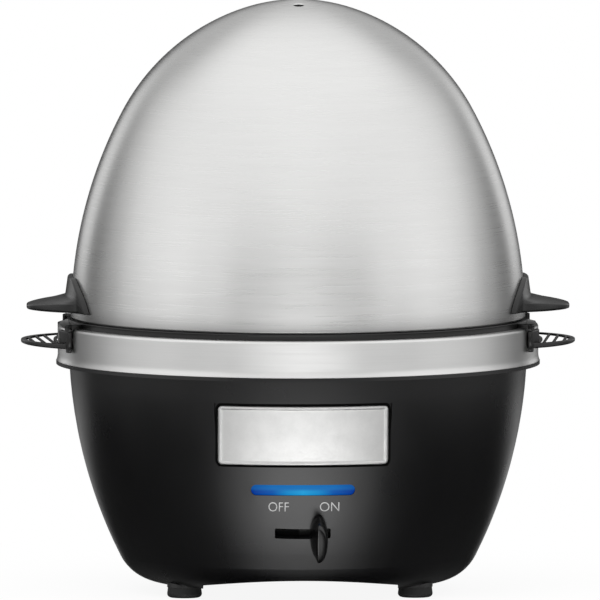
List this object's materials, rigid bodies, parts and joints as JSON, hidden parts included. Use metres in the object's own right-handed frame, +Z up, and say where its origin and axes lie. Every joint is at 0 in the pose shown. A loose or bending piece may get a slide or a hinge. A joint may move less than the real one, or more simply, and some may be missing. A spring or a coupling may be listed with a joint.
{
  "type": "electric egg cooker",
  "caption": "Round electric egg cooker: black base with slide switch and light bar, heated dish, stacked egg trays and a tall domed steel lid with side handles.",
  "frame": {"origin": "on the table, under the middle of the round base", "axes": "+Z up, -Y towards the switch and the user, +X and -X along the handles"},
  "size_m": [0.2138, 0.1866, 0.2285],
  "materials": {
    "black_housing_plastic": "moulded, semi-gloss",
    "black_fitting_plastic": "moulded, matte",
    "black_gloss_plastic": "moulded, gloss",
    "black_tray_plastic": "moulded, satin",
    "black_handle_plastic": "moulded, satin",
    "foot_rubber": "moulded, matte",
    "gland_rubber": "moulded, matte",
    "silicone_rubber": "moulded, matte",
    "brushed_stainless_steel": "brushed round the axis",
    "heater_sheath_steel": "drawn tube, heat-darkened",
    "zinc_plated_steel": "zinc plated",
    "pressed_aluminium": "pressed, plain",
    "plated_badge": "satin plated with bright edges",
    "blue_lens_plastic": "clear tinted, lit from behind",
    "blue_lamp_plastic": "clear tinted",
    "white_terminal_plastic": "moulded, matte",
    "board_laminate": "lacquered laminate"
  },
  "bodies": {
    "base": {"base_housing": "black_housing_plastic", "foot_1": "foot_rubber", "foot_2": "foot_rubber", "foot_3": "foot_rubber", "foot_4": "foot_rubber", "bottom_cover": "black_housing_plastic", "bottom_cover_screws": "zinc_plated_steel", "trim_ring": "brushed_stainless_steel", "heating_dish": "brushed_stainless_steel", "dish_gasket": "silicone_rubber", "heating_element": "heater_sheath_steel", "element_clamp_plate": "pressed_aluminium", "clamp_nuts": "zinc_plated_steel", "shield_spacers": "pressed_aluminium", "heat_shield": "zinc_plated_steel", "shield_nuts": "zinc_plated_steel", "thermostat": "black_fitting_plastic", "thermostat_strap": "zinc_plated_steel", "thermal_fuse": "pressed_aluminium", "fuse_clip": "zinc_plated_steel", "control_board": "board_laminate", "board_screws": "zinc_plated_steel", "indicator_lamps": "blue_lamp_plastic", "sounder": "black_fitting_plastic", "terminal_block": "white_terminal_plastic", "light_lens": "blue_lens_plastic", "badge_plate": "plated_badge", "switch_body": "black_fitting_plastic", "switch_screws": "zinc_plated_steel", "cord_gland": "gland_rubber"},
    "switch_slide": {"switch_knob": "black_gloss_plastic", "switch_slider": "black_fitting_plastic"},
    "lower_tray": {"egg_tray": "black_tray_plastic", "tray_handle_right": "black_tray_plastic", "tray_handle_left": "black_tray_plastic"},
    "upper_tray": {"upper_egg_tray": "black_tray_plastic"},
    "lid": {"lid_dome": "brushed_stainless_steel", "lid_handle_right": "black_handle_plastic", "lid_handle_left": "black_handle_plastic", "lid_handle_screws": "zinc_plated_steel"}
  },
  "joints": [
    {"name": "switch_travel", "type": "slide", "parent": "base", "child": "switch_slide", "axis": [1, 0, 0], "range_m": [-0.0124, 0]},
    {"name": "lower_tray_lift", "type": "slide", "parent": "base", "child": "lower_tray", "axis": [0, 0, 1], "range_m": [0, 0.06]},
    {"name": "upper_tray_lift", "type": "slide", "parent": "lower_tray", "child": "upper_tray", "axis": [0, 0, 1], "range_m": [0, 0.07]},
    {"name": "lid_lift", "type": "slide", "parent": "upper_tray", "child": "lid", "axis": [0, 0, 1], "range_m": [0, 0.12]}
  ]
}
